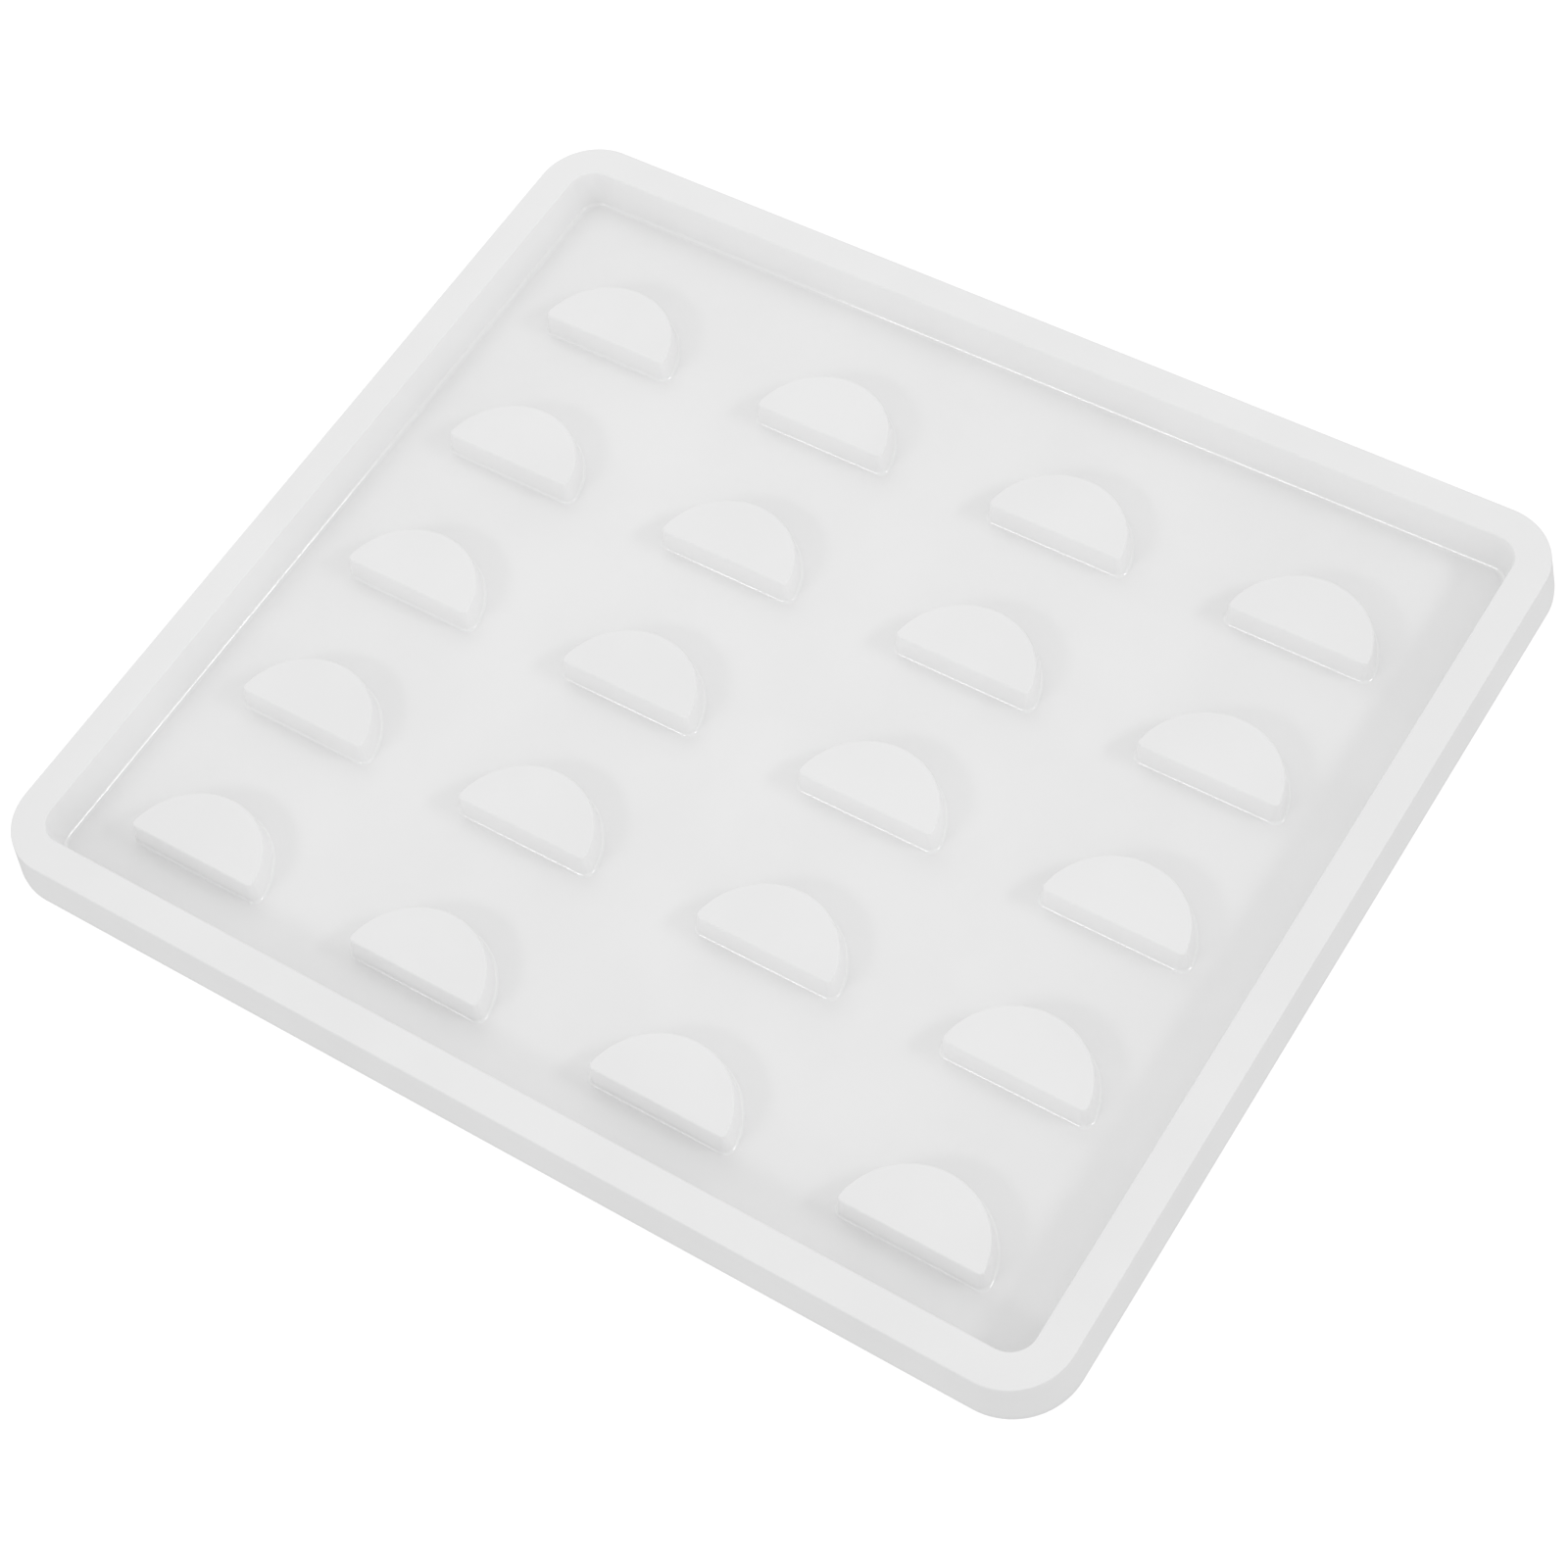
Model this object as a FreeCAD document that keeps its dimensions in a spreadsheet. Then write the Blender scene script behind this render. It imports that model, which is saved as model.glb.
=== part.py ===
import FreeCAD, Part
import math
import os
import Sketcher

# Resin casting mould: one shallow silicone tray with twenty raised half-moon cores.
# Frame: origin under the middle of the base, +X along a row of four cores,
# +Y towards the side that the round edges of the cores face, +Z up. Millimetres.

DIMENSIONS = {
    # tray, measured along the top of its rim
    "tray_length": 200.0,
    "tray_width": 174.3,
    "tray_corner": 10.8,
    "rim_width": 6.0,
    "pocket_corner": 4.5,
    "pocket_depth": 7.7,
    # base sheet, flush with the foot of the wall that stands on it
    "base_thickness": 1.2,
    "base_edge": 0.3,
    # how far each side leans out between its top and its foot
    "outer_lean": 1.0,
    "pocket_lean": 0.9,
    "core_lean": 0.6,
    # half-moon cores, measured at their tops
    "core_height": 4.5,
    "core_radius": 12.75,
    "core_centre_drop": 0.8,
    "core_corner": 0.8,
    "top_edge": 0.3,
    # places of the cores: column centres along X, flat edges along Y
    "column_1": -69.6,
    "column_2": -24.0,
    "column_3": 23.1,
    "column_4": 68.7,
    "first_row": -71.4,
    "row_pitch": 30.5,
}
COLUMNS = 4
ROWS = 5
SHEET = "Dimensions"
LEVEL_TOLERANCE = 1e-4

doc = FreeCAD.newDocument("resin_casting_mould")


def make_sheet():
    """The driving dimensions, one row each, with the name as the alias."""
    sheet = doc.addObject("Spreadsheet::Sheet", SHEET)
    for row, (name, value) in enumerate(DIMENSIONS.items(), start=1):
        sheet.set(f"A{row}", name)
        sheet.set(f"B{row}", str(value))
        sheet.setAlias(f"B{row}", name)
    doc.recompute()


def cell(formula):
    """A formula of dimension names, with each name pointed at the sheet."""
    words = []
    for word in formula.split():
        words.append(f"{SHEET}.{word}" if word in DIMENSIONS else word)
    return " ".join(words)


def new_body(label):
    body = doc.addObject("PartDesign::Body", label)
    body.Label = label
    return body


def new_sketch(body, name, height="0 mm"):
    """A sketch on the body's own XY plane, lifted to a height given as a formula."""
    sketch = body.newObject("Sketcher::SketchObject", f"{body.Name}_{name}")
    planes = [item for item in body.Origin.OriginFeatures if item.Role == "XY_Plane"]
    sketch.AttachmentSupport = [(planes[0], "")]
    sketch.MapMode = "FlatFace"
    sketch.setExpression("AttachmentOffset.Base.z", height)
    return sketch


def bind(sketch, kind, name, formula, *elements):
    """Adds one dimensional constraint and drives it by a formula of the sheet's cells."""
    index = sketch.addConstraint(Sketcher.Constraint(kind, *elements))
    sketch.renameConstraint(index, name)
    sketch.setExpression(f"Constraints.{name}", cell(formula))


def draw_rounded_rectangle(sketch, length, width, corner, start):
    """A rounded rectangle about the origin: three formulas, and rough sizes to start from."""
    half_x, half_y, radius = start[0] / 2, start[1] / 2, start[2]
    inner_x, inner_y = half_x - radius, half_y - radius
    middles = [(inner_x, -inner_y), (inner_x, inner_y), (-inner_x, inner_y), (-inner_x, -inner_y)]
    up = FreeCAD.Vector(0, 0, 1)
    arcs = []
    for quarter, (x, y) in enumerate(middles):
        circle = Part.Circle(FreeCAD.Vector(x, y, 0), up, radius)
        first = (quarter - 1) * math.pi / 2
        arcs.append(sketch.addGeometry(Part.ArcOfCircle(circle, first, first + math.pi / 2)))
    sides = []
    for quarter in range(4):
        begin = sketch.getPoint(arcs[quarter], 2)
        end = sketch.getPoint(arcs[(quarter + 1) % 4], 1)
        sides.append(sketch.addGeometry(Part.LineSegment(begin, end)))
    for quarter in range(4):
        after = (quarter + 1) % 4
        sketch.addConstraint(Sketcher.Constraint("Tangent", arcs[quarter], 2, sides[quarter], 1))
        sketch.addConstraint(Sketcher.Constraint("Tangent", sides[quarter], 2, arcs[after], 1))
        if quarter:
            sketch.addConstraint(Sketcher.Constraint("Equal", arcs[0], arcs[quarter]))
    sketch.addConstraint(Sketcher.Constraint("Vertical", sides[0]))
    sketch.addConstraint(Sketcher.Constraint("Horizontal", sides[1]))
    sketch.addConstraint(Sketcher.Constraint("Symmetric", arcs[0], 3, arcs[2], 3, -1, 1))
    bind(sketch, "DistanceX", "half_length", f"( {length} ) / 2", -1, 1, sides[0], 1, half_x)
    bind(sketch, "DistanceY", "half_width", f"( {width} ) / 2", -1, 1, sides[1], 1, half_y)
    bind(sketch, "Radius", "corner", corner, arcs[0], radius)


def draw_half_moon(sketch):
    """A half moon: its flat edge on the X axis, its arc towards +Y, both ends rounded."""
    radius = DIMENSIONS["core_radius"]
    drop = DIMENSIONS["core_centre_drop"]
    corner = DIMENSIONS["core_corner"]
    up = FreeCAD.Vector(0, 0, 1)
    reach = math.sqrt((radius - corner) ** 2 - (drop + corner) ** 2)
    turn = math.atan2(drop + corner, reach)
    moon = Part.Circle(FreeCAD.Vector(0, -drop, 0), up, radius)
    right = Part.Circle(FreeCAD.Vector(reach, corner, 0), up, corner)
    left = Part.Circle(FreeCAD.Vector(-reach, corner, 0), up, corner)
    arc = sketch.addGeometry(Part.ArcOfCircle(moon, turn, math.pi - turn))
    end_left = sketch.addGeometry(Part.ArcOfCircle(left, math.pi - turn, 1.5 * math.pi))
    end_right = sketch.addGeometry(Part.ArcOfCircle(right, -0.5 * math.pi, turn))
    begin = FreeCAD.Vector(-reach, 0, 0)
    flat = sketch.addGeometry(Part.LineSegment(begin, FreeCAD.Vector(reach, 0, 0)))
    sketch.addConstraint(Sketcher.Constraint("Tangent", arc, 2, end_left, 1))
    sketch.addConstraint(Sketcher.Constraint("Tangent", end_left, 2, flat, 1))
    sketch.addConstraint(Sketcher.Constraint("Tangent", flat, 2, end_right, 1))
    sketch.addConstraint(Sketcher.Constraint("Tangent", end_right, 2, arc, 1))
    sketch.addConstraint(Sketcher.Constraint("Equal", end_left, end_right))
    sketch.addConstraint(Sketcher.Constraint("PointOnObject", flat, 1, -1))
    sketch.addConstraint(Sketcher.Constraint("PointOnObject", flat, 2, -1))
    sketch.addConstraint(Sketcher.Constraint("PointOnObject", arc, 3, -2))
    bind(sketch, "DistanceY", "drop", "core_centre_drop", arc, 3, -1, 1, drop)
    bind(sketch, "Radius", "arc", "core_radius", arc, radius)
    bind(sketch, "Radius", "corner", "core_corner", end_right, corner)


def pad(body, sketch, name, length, lean=None):
    """Pads a sketch downwards where its sides lean, and upwards where they don't."""
    feature = body.newObject("PartDesign::Pad", f"{body.Name}_{name}")
    feature.Profile = sketch
    feature.setExpression("Length", cell(length))
    if lean:
        feature.Reversed = True
        feature.setExpression("TaperAngle", f"atan( {cell(lean)} / ( {cell(length)} ) )")
    sketch.Visibility = False
    doc.recompute()
    return feature


def edges_at(feature, *heights):
    """Names of the edges that lie flat at any of the given heights."""
    names = []
    for number, edge in enumerate(feature.Shape.Edges, start=1):
        box = edge.BoundBox
        for height in heights:
            if abs(box.ZMin - height) + abs(box.ZMax - height) < LEVEL_TOLERANCE:
                names.append(f"Edge{number}")
    return names


def round_edges(body, base, radius, *heights):
    feature = body.newObject("PartDesign::Fillet", f"{body.Name}_edges")
    feature.Base = (base, edges_at(base, *heights))
    feature.setExpression("Radius", cell(radius))
    doc.recompute()
    return feature


def make_base_sheet():
    """The thin floor of the tray, as wide as the foot of the wall."""
    body = new_body("base_sheet")
    sketch = new_sketch(body, "outline")
    lean = DIMENSIONS["outer_lean"]
    start = (
        DIMENSIONS["tray_length"] + 2 * lean,
        DIMENSIONS["tray_width"] + 2 * lean,
        DIMENSIONS["tray_corner"] + lean,
    )
    draw_rounded_rectangle(
        sketch,
        "tray_length + 2 * outer_lean",
        "tray_width + 2 * outer_lean",
        "tray_corner + outer_lean",
        start,
    )
    sheet = pad(body, sketch, "sheet", "base_thickness")
    round_edges(body, sheet, "base_edge", 0)
    return body


def make_rim_wall():
    """The wall all round the pocket, flat on top, with both its sides leaning."""
    body = new_body("rim_wall")
    top = cell("base_thickness + pocket_depth")
    outside = new_sketch(body, "outside", top)
    length, width = DIMENSIONS["tray_length"], DIMENSIONS["tray_width"]
    rim = DIMENSIONS["rim_width"]
    draw_rounded_rectangle(
        outside,
        "tray_length",
        "tray_width",
        "tray_corner",
        (length, width, DIMENSIONS["tray_corner"]),
    )
    block = pad(body, outside, "block", "pocket_depth", "outer_lean")
    solid = block.Shape.Volume
    inside = new_sketch(body, "inside", top)
    draw_rounded_rectangle(
        inside,
        "tray_length - 2 * rim_width",
        "tray_width - 2 * rim_width",
        "pocket_corner",
        (length - 2 * rim, width - 2 * rim, DIMENSIONS["pocket_corner"]),
    )
    pocket = body.newObject("PartDesign::Pocket", "rim_wall_pocket")
    pocket.Profile = inside
    pocket.setExpression("Length", cell("pocket_depth"))
    pocket.setExpression("TaperAngle", f"-atan( {cell('pocket_lean / pocket_depth')} )")
    inside.Visibility = False
    doc.recompute()
    if pocket.Shape.Volume > 0.5 * solid:
        raise RuntimeError("the pocket did not open the wall")
    round_edges(body, pocket, "top_edge", DIMENSIONS["base_thickness"] + DIMENSIONS["pocket_depth"])
    return body


def make_core(row, column):
    """One half-moon core, standing on the base sheet."""
    body = new_body(f"half_moon_core_r{row + 1}_c{column + 1}")
    sketch = new_sketch(body, "outline", cell("core_height"))
    draw_half_moon(sketch)
    core = pad(body, sketch, "core", "core_height", "core_lean")
    round_edges(body, core, "top_edge", DIMENSIONS["core_height"])
    body.setExpression("Placement.Base.x", cell(f"column_{column + 1}"))
    body.setExpression("Placement.Base.y", cell(f"first_row + {row} * row_pitch"))
    body.setExpression("Placement.Base.z", cell("base_thickness"))
    return body


def check(bodies):
    """Stops on a failed object or on a sub-part that is not one valid solid."""
    for item in doc.Objects:
        if "Invalid" in item.State or "Error" in item.State:
            raise RuntimeError(f"{item.Name} failed: {item.State}")
    for body in bodies:
        shape = body.Shape
        if shape.isNull() or not shape.isValid() or len(shape.Solids) != 1:
            raise RuntimeError(f"{body.Label} is not one valid solid")


make_sheet()
sub_parts = [make_base_sheet(), make_rim_wall()]
for row in range(ROWS):
    for column in range(COLUMNS):
        sub_parts.append(make_core(row, column))
doc.recompute()
check(sub_parts)

os.makedirs("parts", exist_ok=True)
for sub_part in sub_parts:
    sub_part.Shape.exportStep(f"parts/{sub_part.Label}.step")
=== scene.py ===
import math

import bmesh
import bpy
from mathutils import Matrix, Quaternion, Vector


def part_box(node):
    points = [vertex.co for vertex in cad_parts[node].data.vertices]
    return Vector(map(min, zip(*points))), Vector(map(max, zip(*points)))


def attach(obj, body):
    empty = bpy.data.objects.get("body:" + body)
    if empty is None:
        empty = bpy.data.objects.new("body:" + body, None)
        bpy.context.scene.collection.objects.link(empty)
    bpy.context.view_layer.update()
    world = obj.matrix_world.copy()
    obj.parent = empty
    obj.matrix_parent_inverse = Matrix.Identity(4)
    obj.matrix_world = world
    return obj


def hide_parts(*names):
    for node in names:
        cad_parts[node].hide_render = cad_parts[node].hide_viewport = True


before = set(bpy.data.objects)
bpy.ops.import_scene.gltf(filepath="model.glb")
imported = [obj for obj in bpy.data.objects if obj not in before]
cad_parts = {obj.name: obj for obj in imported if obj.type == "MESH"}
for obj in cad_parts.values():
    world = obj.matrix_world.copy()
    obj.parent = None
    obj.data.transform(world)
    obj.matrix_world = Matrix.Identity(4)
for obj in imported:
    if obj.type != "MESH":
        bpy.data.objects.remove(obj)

# Resin casting mould: one shallow white silicone tray with twenty raised half-moon cores.
# Each piece below stands for one CAD node and keeps that node's place and size.

MM = 0.001

# Sizes shared with the CAD source, in millimetres.
RIM_WIDTH = 6.0
TRAY_CORNER = 10.8
POCKET_CORNER = 4.5
BASE_EDGE = 0.3
OUTER_LEAN = 1.0
POCKET_LEAN = 0.9
CORE_LEAN = 0.6
CORE_RADIUS = 12.75
CORE_CENTRE_DROP = 0.8
CORE_CORNER = 0.8
TOP_EDGE = 0.3

# Small hollow rounds where a side runs into the floor, which only the skin shows.
POCKET_ROUND = 0.9
CORE_ROUND = 0.6

# How finely the skin is divided.
CORNER_STEPS = 20
ARC_STEPS = 72
TIP_STEPS = 10
FLAT_STEPS = 24
EDGE_STEPS = 6
SIDE_PITCH = 4.0
REACH = 5.0
LEVEL_FACE = 0.9999

# Silicone: its colour and shine, then sizes and depths of its unevenness in millimetres.
SILICONE_LIGHT = (0.89, 0.89, 0.89, 1)
SILICONE_DARK = (0.87, 0.87, 0.87, 1)
SILICONE_IOR = 1.45
SILICONE_GLOSS = 0.7
POLISH_ROUGHNESS = 0.07
POLISH_IOR = 2.0
SATIN_ROUGHNESS = 0.34
MATT_ROUGHNESS = 0.55
CLOUD_SHEEN = 0.03
GRAIN_SHEEN = 0.02
CLOUD_SIZE = 22.0
CLOUD_DEPTH = 0.05
GRAIN_SIZE = 0.9
GRAIN_DEPTH = 0.0015
SPECK_SIZE = 0.3
SPECK_DEPTH = 0.004
NOISE_SPAN = (0.3, 0.7)

# Where each finish fades in or out: heights in millimetres, how far up a face looks, and how
# far out a point lies as a share of the way to the wall of the pocket.
TOP_HEIGHTS = (4.0, 5.4)
TOP_FACING = (0.3, 0.7)
FOOT_HEIGHTS = (1.9, 2.3)
FOOT_FACING_IN = (0.45, 0.65)
FOOT_FACING_OUT = (0.88, 0.98)
OUTSIDE_SHARE = (1.02, 1.04)


def corner_arc(centre, radius, first, last, steps):
    """Points on an arc, both ends included, each with its outward direction; angles in degrees."""
    points = []
    for step in range(steps + 1):
        angle = math.radians(first + (last - first) * step / steps)
        out = Vector((math.cos(angle), math.sin(angle)))
        points.append((Vector(centre) + out * radius, out))
    return points


def inner_points(start, end, steps):
    """Points that divide the straight side between two outline points, both ends left out."""
    places = [start[0].lerp(end[0], step / steps) for step in range(1, steps)]
    return [(place, start[1]) for place in places]


def rounded_rectangle(half_x, half_y, radius, steps_x, steps_y):
    """A rounded rectangle about the origin, anticlockwise from the upper end of its +X side."""
    inner_x, inner_y = half_x - radius, half_y - radius
    corners = [(inner_x, inner_y), (-inner_x, inner_y), (-inner_x, -inner_y), (inner_x, -inner_y)]
    arcs = []
    for quarter, centre in enumerate(corners):
        first = 90 * quarter
        arcs.append(corner_arc(centre, radius, first, first + 90, CORNER_STEPS))
    points = []
    for quarter, side_steps in enumerate([steps_x, steps_y, steps_x, steps_y]):
        points += arcs[quarter]
        points += inner_points(arcs[quarter][-1], arcs[(quarter + 1) % 4][0], side_steps)
    return points


def half_moon(middle, flat, grow):
    """A half moon with its flat edge along y = flat and its arc towards +Y, offset outwards."""
    radius, corner = CORE_RADIUS + grow, CORE_CORNER + grow
    drop = CORE_CENTRE_DROP
    reach = math.sqrt((CORE_RADIUS - CORE_CORNER) ** 2 - (drop + CORE_CORNER) ** 2)
    turn = math.degrees(math.atan2(drop + CORE_CORNER, reach))
    level = flat + CORE_CORNER
    points = corner_arc((middle + reach, level), corner, -90, turn, TIP_STEPS)
    points += corner_arc((middle, flat - drop), radius, turn, 180 - turn, ARC_STEPS)[1:]
    points += corner_arc((middle - reach, level), corner, 180 - turn, 270, TIP_STEPS)[1:]
    points += inner_points(points[-1], points[0], FLAT_STEPS)
    return points


def rounded_profile(points, radii, steps=EDGE_STEPS):
    """The open profile through some corners, each corner replaced by an arc of its radius.

    Corners run up the outside of a solid as (outwards, height). Each point of the result comes
    with the direction that the surface faces there.
    """
    profile = []
    for before, corner, after, radius in zip(points, points[1:], points[2:], radii):
        corner = Vector(corner)
        back = (Vector(before) - corner).normalized()
        ahead = (Vector(after) - corner).normalized()
        half = back.angle(ahead) / 2
        middle = corner + (back + ahead).normalized() * (radius / math.sin(half))
        start = corner + back * (radius / math.tan(half)) - middle
        end = corner + ahead * (radius / math.tan(half)) - middle
        turn = math.atan2(start.x * end.y - start.y * end.x, start.dot(end))
        # A bulge faces away from its arc's middle, and a hollow faces towards it.
        away = 1 if turn > 0 else -1
        for step in range(steps + 1):
            angle = turn * step / steps
            x = start.x * math.cos(angle) - start.y * math.sin(angle)
            y = start.x * math.sin(angle) + start.y * math.cos(angle)
            arm = Vector((x, y))
            profile.append((middle + arm, arm.normalized() * away))
    return profile


class Skin:
    """A closed surface made of loops, with the direction that it faces at every point."""

    def __init__(self):
        self.mesh = bmesh.new()
        self.facing = []

    def add_loop(self, outline, height, facing, side=1):
        """One loop at a height; facing is (outwards, up), and side is -1 in a pocket."""
        loop = []
        for place, out in outline:
            loop.append(self.mesh.verts.new((place.x * MM, place.y * MM, height * MM)))
            across = out * facing.x * side
            self.facing.append(Vector((across.x, across.y, facing.y)))
        return loop

    def bridge(self, lower, upper):
        """Quads between two loops of the same number of points."""
        for index in range(len(lower)):
            after = (index + 1) % len(lower)
            self.mesh.faces.new((lower[index], lower[after], upper[after], upper[index]))

    def cap(self, loop):
        self.mesh.faces.new(loop)

    def finish(self, name, node, material):
        """Turns the surface into a piece that stands for one CAD node."""
        bmesh.ops.recalc_face_normals(self.mesh, faces=self.mesh.faces)
        data = bpy.data.meshes.new(name)
        self.mesh.to_mesh(data)
        self.mesh.free()
        data.materials.append(material)
        data.polygons.foreach_set("use_smooth", [True] * len(data.polygons))
        normals = []
        for face in data.polygons:
            level = abs(face.normal.z) > LEVEL_FACE
            for index in face.vertices:
                normals.append(face.normal if level else self.facing[index])
        data.normals_split_custom_set(normals)
        piece = bpy.data.objects.new(name, data)
        bpy.context.scene.collection.objects.link(piece)
        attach(piece, "root")
        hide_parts(node)
        return piece


def node_box(node):
    """A CAD node's box in millimetres."""
    lo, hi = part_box(node)
    return lo / MM, hi / MM


def make_base_sheet(material):
    """The thin floor of the tray, as wide as the foot of the wall."""
    lo, hi = node_box("base_sheet")
    steps_x = round((hi.x - lo.x) / SIDE_PITCH)
    steps_y = round((hi.y - lo.y) / SIDE_PITCH)
    profile = rounded_profile([(-REACH, lo.z), (0, lo.z), (0, hi.z)], [BASE_EDGE])
    profile.append((Vector((0, hi.z)), Vector((1, 0))))
    skin = Skin()
    loops = []
    for place, facing in profile:
        grow = place.x
        outline = rounded_rectangle(
            hi.x + grow, hi.y + grow, TRAY_CORNER + OUTER_LEAN + grow, steps_x, steps_y
        )
        loops.append(skin.add_loop(outline, place.y, facing))
    for lower, upper in zip(loops, loops[1:]):
        skin.bridge(lower, upper)
    skin.cap(loops[0])
    skin.cap(loops[-1])
    return skin.finish("base_sheet_skin", "base_sheet", material)


def make_rim_wall(material):
    """The wall round the pocket, with its small hollow rounds against the base."""
    lo, hi = node_box("rim_wall")
    half_x, half_y = hi.x - OUTER_LEAN, hi.y - OUTER_LEAN
    steps_x = round(2 * half_x / SIDE_PITCH)
    steps_y = round(2 * half_y / SIDE_PITCH)
    foot = (Vector((OUTER_LEAN, lo.z)), Vector((hi.z - lo.z, OUTER_LEAN)).normalized())
    outside = [foot[0], (0, hi.z), (-REACH, hi.z)]
    inside = [(REACH, lo.z), (POCKET_LEAN, lo.z), (0, hi.z), (-REACH, hi.z)]
    skin = Skin()
    loops = []
    for place, facing in [foot] + rounded_profile(outside, [TOP_EDGE]):
        grow = place.x
        outline = rounded_rectangle(
            half_x + grow, half_y + grow, TRAY_CORNER + grow, steps_x, steps_y
        )
        loops.append(skin.add_loop(outline, place.y, facing))
    half_x, half_y = half_x - RIM_WIDTH, half_y - RIM_WIDTH
    for place, facing in reversed(rounded_profile(inside, [POCKET_ROUND, TOP_EDGE])):
        grow = place.x
        outline = rounded_rectangle(
            half_x - grow, half_y - grow, POCKET_CORNER - grow, steps_x, steps_y
        )
        loops.append(skin.add_loop(outline, place.y, facing, side=-1))
    for index, loop in enumerate(loops):
        skin.bridge(loop, loops[(index + 1) % len(loops)])
    return skin.finish("rim_wall_skin", "rim_wall", material)


def make_core(node, material):
    """One half-moon core, flaring into the floor round its foot."""
    lo, hi = node_box(node)
    middle, flat = (lo.x + hi.x) / 2, lo.y + CORE_LEAN
    corners = [(REACH, lo.z), (CORE_LEAN, lo.z), (0, hi.z), (-REACH, hi.z)]
    skin = Skin()
    loops = []
    for place, facing in rounded_profile(corners, [CORE_ROUND, TOP_EDGE]):
        loops.append(skin.add_loop(half_moon(middle, flat, place.x), place.y, facing))
    for lower, upper in zip(loops, loops[1:]):
        skin.bridge(lower, upper)
    skin.cap(loops[0])
    skin.cap(loops[-1])
    return skin.finish(f"{node}_skin", node, material)


class Nodes:
    """Short calls for building one material's node tree."""

    def __init__(self, material):
        self.tree = material.node_tree
        self.shader = self.tree.nodes["Principled BSDF"]

    def add(self, kind, **settings):
        node = self.tree.nodes.new(kind)
        for name, value in settings.items():
            setattr(node, name, value)
        return node

    def link(self, source, target):
        self.tree.links.new(source, target)

    def maths(self, operation, first, second):
        node = self.add("ShaderNodeMath", operation=operation)
        for socket, value in zip(node.inputs, (first, second)):
            if isinstance(value, (int, float)):
                socket.default_value = value
            else:
                self.link(value, socket)
        return node.outputs["Value"]

    def blend(self, share, first, second):
        """Mixes two colours, each given as numbers or as a socket."""
        node = self.add("ShaderNodeMix", data_type="RGBA")
        ends = [socket for socket in node.inputs if socket.type == "RGBA"]
        self.link(share, node.inputs["Factor"])
        for socket, colour in zip(ends, (first, second)):
            if isinstance(colour, tuple):
                socket.default_value = colour
            else:
                self.link(colour, socket)
        return next(socket for socket in node.outputs if socket.type == "RGBA")

    def noise(self, place, size, detail):
        """Noise from 0 to 1 whose patches are about size millimetres across."""
        node = self.add("ShaderNodeTexNoise", noise_dimensions="3D")
        node.inputs["Scale"].default_value = 1 / (size * MM)
        node.inputs["Detail"].default_value = detail
        self.link(place, node.inputs["Vector"])
        return node.outputs["Fac"]

    def ramp(self, value, span, out_low, out_high):
        """Carries value from a span onto another one, without going past its ends."""
        node = self.add("ShaderNodeMapRange", interpolation_type="SMOOTHSTEP")
        for name, number in (
            ("From Min", span[0]),
            ("From Max", span[1]),
            ("To Min", out_low),
            ("To Max", out_high),
        ):
            node.inputs[name].default_value = number
        self.link(value, node.inputs["Value"])
        return node.outputs["Result"]


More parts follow.
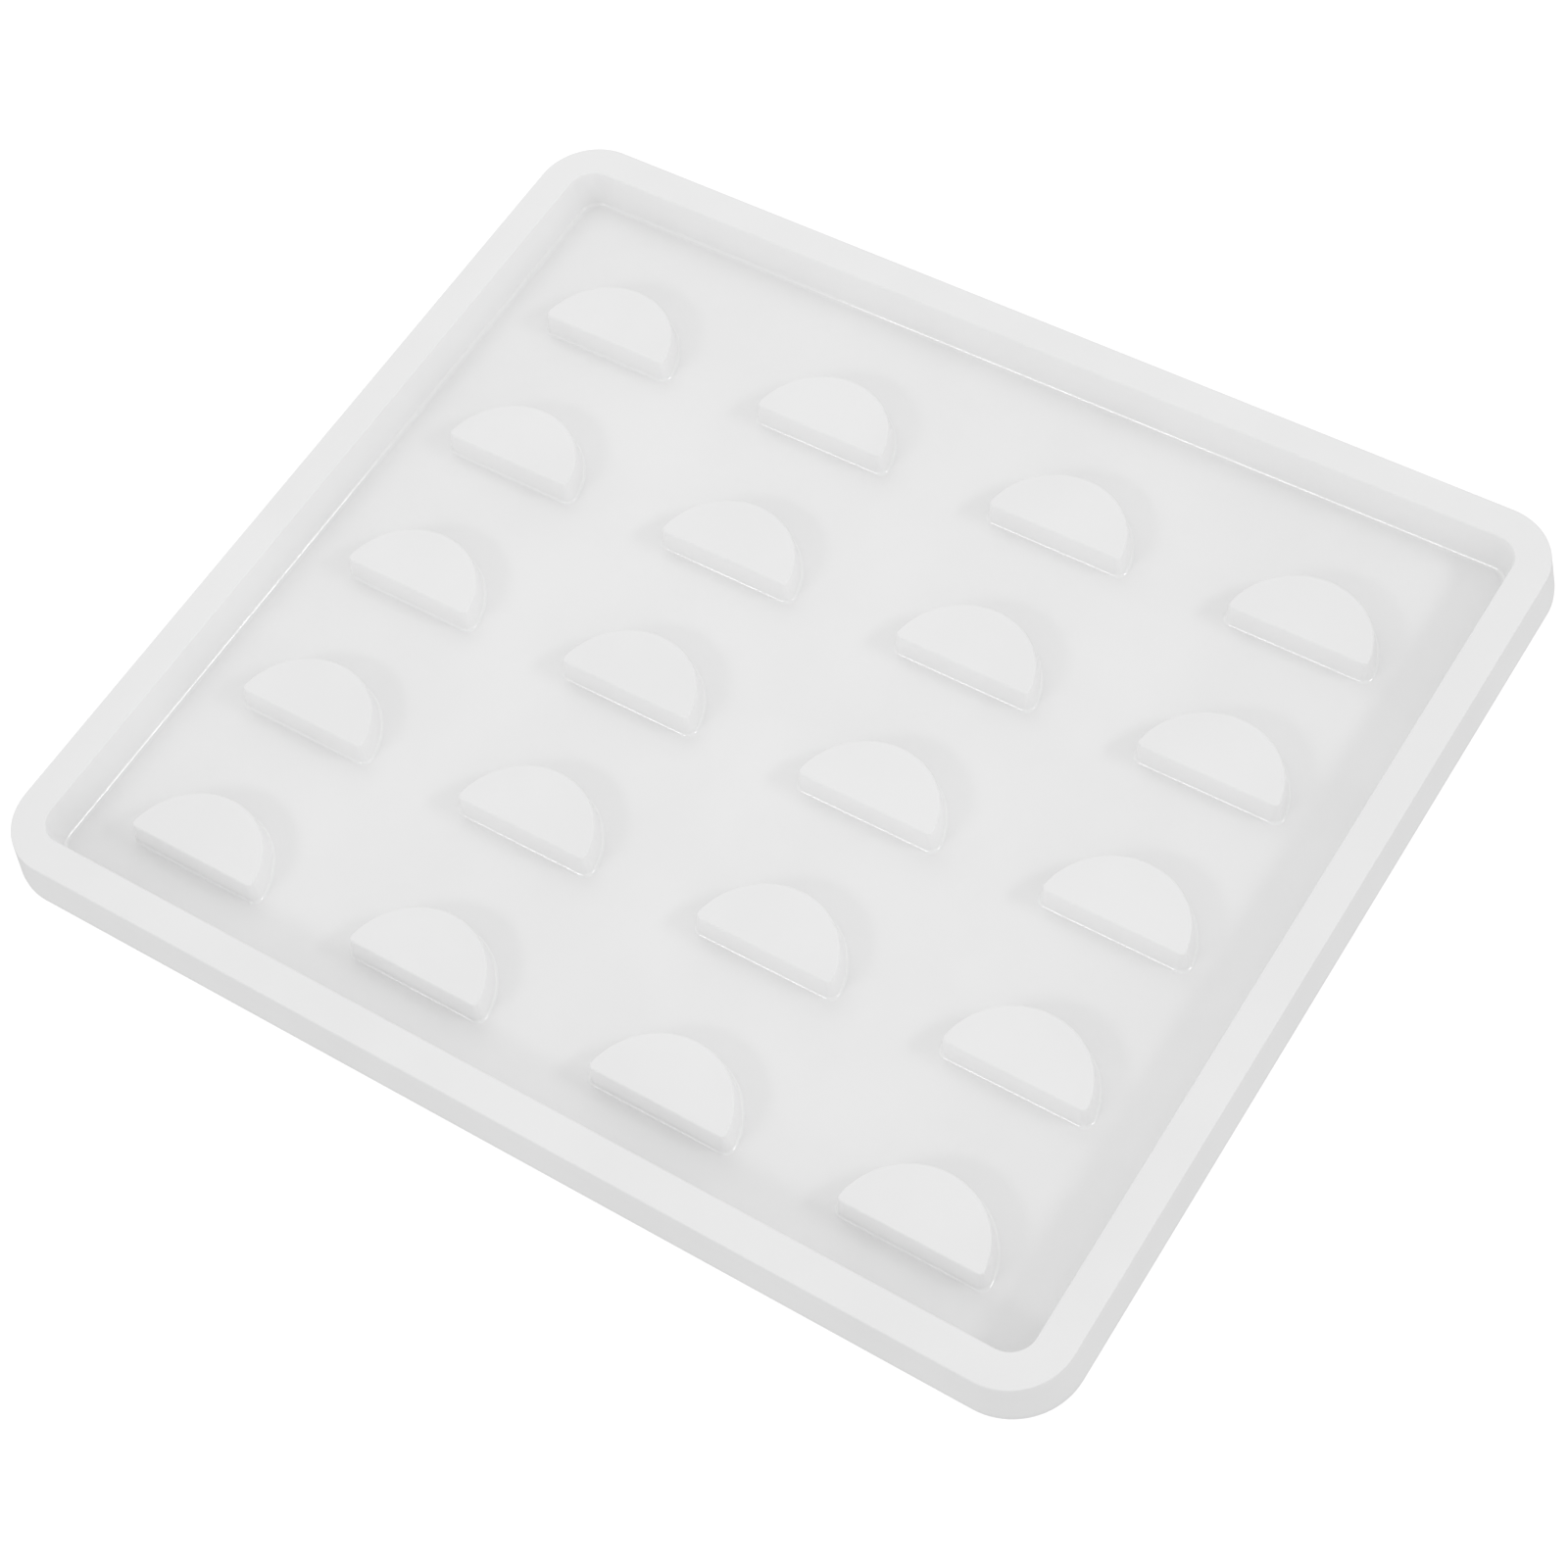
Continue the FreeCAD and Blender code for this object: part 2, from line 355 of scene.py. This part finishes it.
def make_silicone():
    """White silicone: satin in the pocket, matt on the level tops and outside the pocket."""
    material = bpy.data.materials.new("cast_silicone")
    material.use_nodes = True
    nodes = Nodes(material)
    place = nodes.add("ShaderNodeTexCoord").outputs["Object"]
    cloud = nodes.noise(place, CLOUD_SIZE, 3)
    grain = nodes.noise(place, GRAIN_SIZE, 2)
    speck = nodes.noise(place, SPECK_SIZE, 1)
    split = nodes.add("ShaderNodeSeparateXYZ")
    nodes.link(place, split.inputs[0])
    facing = nodes.add("ShaderNodeSeparateXYZ")
    nodes.link(nodes.add("ShaderNodeNewGeometry").outputs["Normal"], facing.inputs[0])
    # Level tops stand above the floor of the pocket and face up.
    height = nodes.maths("DIVIDE", split.outputs["Z"], MM)
    high = nodes.ramp(height, TOP_HEIGHTS, 0, 1)
    level = nodes.ramp(facing.outputs["Z"], TOP_FACING, 0, 1)
    top = nodes.maths("MULTIPLY", high, level)
    # How far out a point lies, as a share of the way to the wall of the pocket.
    lo, hi = node_box("rim_wall")
    shares = []
    for axis, reach in (("X", hi.x), ("Y", hi.y)):
        away = nodes.maths("ABSOLUTE", split.outputs[axis], 0)
        shares.append(nodes.maths("DIVIDE", away, (reach - RIM_WIDTH) * MM))
    outside = nodes.ramp(nodes.maths("MAXIMUM", *shares), OUTSIDE_SHARE, 0, 1)
    dull = nodes.maths("MAXIMUM", top, outside)

    tint = nodes.blend(nodes.ramp(cloud, NOISE_SPAN, 0, 1), SILICONE_DARK, SILICONE_LIGHT)
    nodes.link(tint, nodes.shader.inputs["Base Color"])

    # The hollow rounds at the pocket floor come out polished.
    low = nodes.ramp(height, FOOT_HEIGHTS, 1, 0)
    rising = nodes.ramp(facing.outputs["Z"], FOOT_FACING_IN, 0, 1)
    setting = nodes.ramp(facing.outputs["Z"], FOOT_FACING_OUT, 1, 0)
    foot = nodes.maths("MULTIPLY", low, nodes.maths("MULTIPLY", rising, setting))
    polished = nodes.maths("MULTIPLY", foot, nodes.maths("SUBTRACT", 1, outside))
    nodes.link(polished, nodes.shader.inputs["Coat Weight"])
    nodes.shader.inputs["Coat Roughness"].default_value = POLISH_ROUGHNESS
    nodes.shader.inputs["Coat IOR"].default_value = POLISH_IOR

    satin = nodes.ramp(
        cloud, NOISE_SPAN, SATIN_ROUGHNESS - CLOUD_SHEEN, SATIN_ROUGHNESS + CLOUD_SHEEN
    )
    matt = nodes.maths("MULTIPLY", dull, MATT_ROUGHNESS - SATIN_ROUGHNESS)
    fine = nodes.ramp(grain, NOISE_SPAN, -GRAIN_SHEEN, GRAIN_SHEEN)
    roughness = nodes.maths("ADD", nodes.maths("ADD", satin, matt), fine)
    nodes.link(roughness, nodes.shader.inputs["Roughness"])

    soft = nodes.add("ShaderNodeBump")
    soft.inputs["Distance"].default_value = CLOUD_DEPTH * MM
    nodes.link(cloud, soft.inputs["Height"])
    skin = nodes.add("ShaderNodeBump")
    skin.inputs["Distance"].default_value = GRAIN_DEPTH * MM
    nodes.link(grain, skin.inputs["Height"])
    nodes.link(soft.outputs["Normal"], skin.inputs["Normal"])
    pits = nodes.add("ShaderNodeBump")
    pits.inputs["Distance"].default_value = SPECK_DEPTH * MM
    nodes.link(nodes.maths("MULTIPLY", speck, top), pits.inputs["Height"])
    nodes.link(skin.outputs["Normal"], pits.inputs["Normal"])
    nodes.link(pits.outputs["Normal"], nodes.shader.inputs["Normal"])
    nodes.shader.inputs["IOR"].default_value = SILICONE_IOR
    nodes.shader.inputs["Specular IOR Level"].default_value = SILICONE_GLOSS
    return material


# Camera: where it looks in the tray's frame, how far it stands and how it leans.
CAMERA_AIM = (9.472, -13.029, 5.0)
CAMERA_DISTANCE = 524.6
CAMERA_AZIMUTH = -43.355
CAMERA_ELEVATION = 57.102
CAMERA_ROLL = -12.858
CAMERA_LENS = 74.331
SENSOR = 36.0
CLIP_NEAR, CLIP_FAR = 0.01, 50


def make_camera():
    azimuth, elevation = math.radians(CAMERA_AZIMUTH), math.radians(CAMERA_ELEVATION)
    level = math.cos(elevation)
    forward = Vector(
        (math.sin(azimuth) * level, math.cos(azimuth) * level, -math.sin(elevation))
    )
    data = bpy.data.cameras.new("camera")
    data.lens = CAMERA_LENS
    data.sensor_width = SENSOR
    data.clip_start, data.clip_end = CLIP_NEAR, CLIP_FAR
    camera = bpy.data.objects.new("camera", data)
    camera.location = (Vector(CAMERA_AIM) - forward * CAMERA_DISTANCE) * MM
    camera.rotation_mode = "QUATERNION"
    roll = Quaternion((0, 0, 1), math.radians(CAMERA_ROLL))
    camera.rotation_quaternion = forward.to_track_quat("-Z", "Y") @ roll
    bpy.context.scene.collection.objects.link(camera)
    bpy.context.scene.camera = camera


# Studio: each softbox as azimuth from +X and elevation in degrees, then distance, width and
# height in metres, then brightness.
SOFTBOXES = {
    "left_softbox": (-111, 34, 1.2, 0.42, 0.16, 5.4),
    "right_softbox": (18, 34, 1.2, 0.42, 0.16, 6.9),
    "front_softbox": (-45, 68, 0.8, 0.50, 0.35, 0.45),
    "back_softbox": (135, 50, 0.5, 0.40, 0.30, 0.42),
}
ROOM_HORIZON = 1.095
ROOM_ZENITH = 0.58
ROOM_BELOW = 0.575
HORIZON_BLEND = 0.02
STAGE_GREY = 0.45
STAGE_GLOW = 0.7
STAGE_FLAT = 1.5
STAGE_BEND = 0.8
STAGE_HEIGHT = 2.5
STAGE_BEND_STEPS = 12
STAGE_STEPS = 96


def make_stage():
    """A plain pale floor that curves up into a backdrop all round."""
    mesh = bmesh.new()
    rings = [(STAGE_FLAT, 0)]
    for step in range(1, STAGE_BEND_STEPS + 1):
        angle = math.radians(90 * step / STAGE_BEND_STEPS)
        away = STAGE_FLAT + STAGE_BEND * math.sin(angle)
        rings.append((away, STAGE_BEND * (1 - math.cos(angle))))
    rings.append((STAGE_FLAT + STAGE_BEND, STAGE_HEIGHT))
    loops = []
    for away, height in rings:
        circle = corner_arc((0, 0), away, 0, 360, STAGE_STEPS)[:-1]
        loops.append([mesh.verts.new((place.x, place.y, height)) for place, out in circle])
    mesh.faces.new(loops[0])
    for lower, upper in zip(loops, loops[1:]):
        for index in range(len(lower)):
            after = (index + 1) % len(lower)
            mesh.faces.new((lower[after], lower[index], upper[index], upper[after]))
    data = bpy.data.meshes.new("stage_floor")
    mesh.to_mesh(data)
    mesh.free()
    data.polygons.foreach_set("use_smooth", [True] * len(data.polygons))
    floor = bpy.data.objects.new("stage_floor", data)
    bpy.context.scene.collection.objects.link(floor)
    material = bpy.data.materials.new("stage_white")
    material.use_nodes = True
    shader = material.node_tree.nodes["Principled BSDF"]
    shader.inputs["Base Color"].default_value = (STAGE_GREY, STAGE_GREY, STAGE_GREY, 1)
    shader.inputs["Roughness"].default_value = 1
    shader.inputs["Specular IOR Level"].default_value = 0
    shader.inputs["Emission Color"].default_value = (1, 1, 1, 1)
    shader.inputs["Emission Strength"].default_value = STAGE_GLOW
    material.cycles.emission_sampling = "NONE"
    data.materials.append(material)
    # The room's own light stands in for what the floor would throw back on the object.
    floor.visible_diffuse = False
    floor.visible_glossy = False
    floor.visible_shadow = False


def make_softbox(name, azimuth, elevation, distance, width, height, brightness):
    """A rectangular light that faces the middle of the object."""
    azimuth, elevation = math.radians(azimuth), math.radians(elevation)
    level = math.cos(elevation)
    towards = Vector((math.cos(azimuth) * level, math.sin(azimuth) * level, math.sin(elevation)))
    data = bpy.data.lights.new(name, "AREA")
    data.shape = "RECTANGLE"
    data.size, data.size_y = width, height
    data.energy = brightness * math.pi * width * height
    light = bpy.data.objects.new(name, data)
    light.location = towards * distance
    light.rotation_mode = "QUATERNION"
    light.rotation_quaternion = (-towards).to_track_quat("-Z", "Y")
    light.visible_camera = False
    bpy.context.scene.collection.objects.link(light)


def make_room_light():
    """Soft light from all round: brightest at the horizon, weaker overhead and from below."""
    world = bpy.data.worlds.new("studio")
    bpy.context.scene.world = world
    world.use_nodes = True
    tree = world.node_tree
    background = tree.nodes["Background"]
    split = tree.nodes.new("ShaderNodeSeparateXYZ")
    tree.links.new(tree.nodes.new("ShaderNodeTexCoord").outputs["Generated"], split.inputs[0])
    above = tree.nodes.new("ShaderNodeMapRange")
    above.inputs["To Min"].default_value = ROOM_HORIZON
    above.inputs["To Max"].default_value = ROOM_ZENITH
    tree.links.new(split.outputs["Z"], above.inputs["Value"])
    side = tree.nodes.new("ShaderNodeMapRange")
    side.inputs["From Min"].default_value = -HORIZON_BLEND
    side.inputs["From Max"].default_value = HORIZON_BLEND
    side.inputs["To Min"].default_value = ROOM_BELOW
    tree.links.new(split.outputs["Z"], side.inputs["Value"])
    tree.links.new(above.outputs["Result"], side.inputs["To Max"])
    tree.links.new(side.outputs["Result"], background.inputs["Strength"])
    background.inputs["Color"].default_value = (1, 1, 1, 1)


def make_lights():
    for name, settings in SOFTBOXES.items():
        make_softbox(name, *settings)
    make_room_light()


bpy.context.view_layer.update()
make_camera()
make_stage()
make_lights()
silicone = make_silicone()
make_base_sheet(silicone)
make_rim_wall(silicone)
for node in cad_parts:
    if node.startswith("half_moon_core"):
        make_core(node, silicone)

scene = bpy.context.scene
scene.view_settings.view_transform = "Standard"
bpy.context.view_layer.update()
